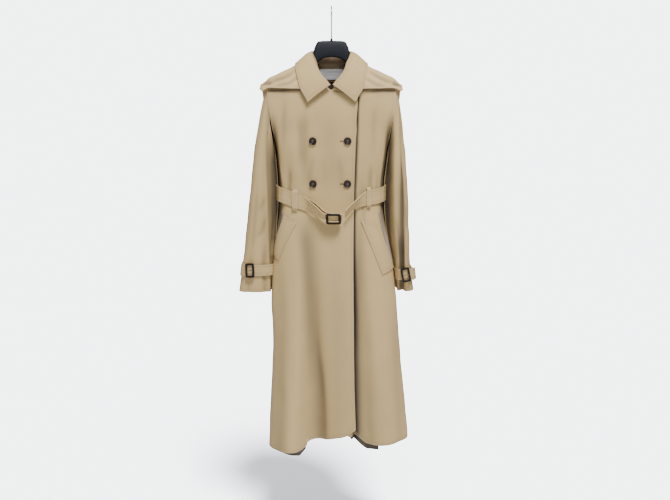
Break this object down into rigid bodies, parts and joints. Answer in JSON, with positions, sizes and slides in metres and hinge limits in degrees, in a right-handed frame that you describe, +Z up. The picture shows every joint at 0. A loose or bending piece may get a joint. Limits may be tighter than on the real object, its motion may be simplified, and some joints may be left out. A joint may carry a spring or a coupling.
{
  "type": "trench coat on a hanger",
  "caption": "Long double-breasted belted trench coat with shoulder cape, slanted welt pockets and buckled cuff straps, hanging on a plain hanger.",
  "frame": {"origin": "the underside of the hanger's hook at its crown, where it lies on a rail", "axes": "+Z up; the coat's front faces -Y; +X is the wearer's left"},
  "size_m": [0.5549, 0.2766, 1.3698],
  "materials": {
    "gabardine": "beige cotton gabardine, fine twill, matt with a faint sheen",
    "lining": "dark brown twill lining, slight sheen",
    "pocketing": "grey beige pocket lining, matt",
    "label": "pale woven satin label, bare",
    "button": "dark brown polished, faint mottling",
    "buckle": "near black brown leather cover, slight gloss",
    "hanger": "dark navy moulded, satin",
    "hook": "bright chrome wire"
  },
  "bodies": {
    "root": {"back_neck_lining": "lining", "back_panel": "gabardine", "belt": "gabardine", "belt_buckle": "buckle", "belt_end": "gabardine", "belt_loop_left": "gabardine", "belt_loop_right": "gabardine", "belt_prong": "buckle", "button_lower_left": "button", "button_lower_right": "button", "button_upper_left": "button", "button_upper_right": "button", "collar_fall": "gabardine", "collar_stand": "gabardine", "cuff_buckle_left": "buckle", "cuff_buckle_right": "buckle", "cuff_keeper_left": "gabardine", "cuff_keeper_right": "gabardine", "cuff_prong_left": "buckle", "cuff_prong_right": "buckle", "cuff_strap_left": "gabardine", "cuff_strap_right": "gabardine", "front_left_panel": "gabardine", "front_right_panel": "gabardine", "hanger_body": "hanger", "hanger_ferrule": "hook", "hanger_hook": "hook", "hem_lining_left": "lining", "hem_lining_right": "lining", "neck_label": "label", "pocket_lining_left": "pocketing", "pocket_lining_right": "pocketing", "pocket_welt_left": "gabardine", "pocket_welt_right": "gabardine", "shoulder_cape": "gabardine", "sleeve_left": "gabardine", "sleeve_right": "gabardine"}
  },
  "joints": []
}
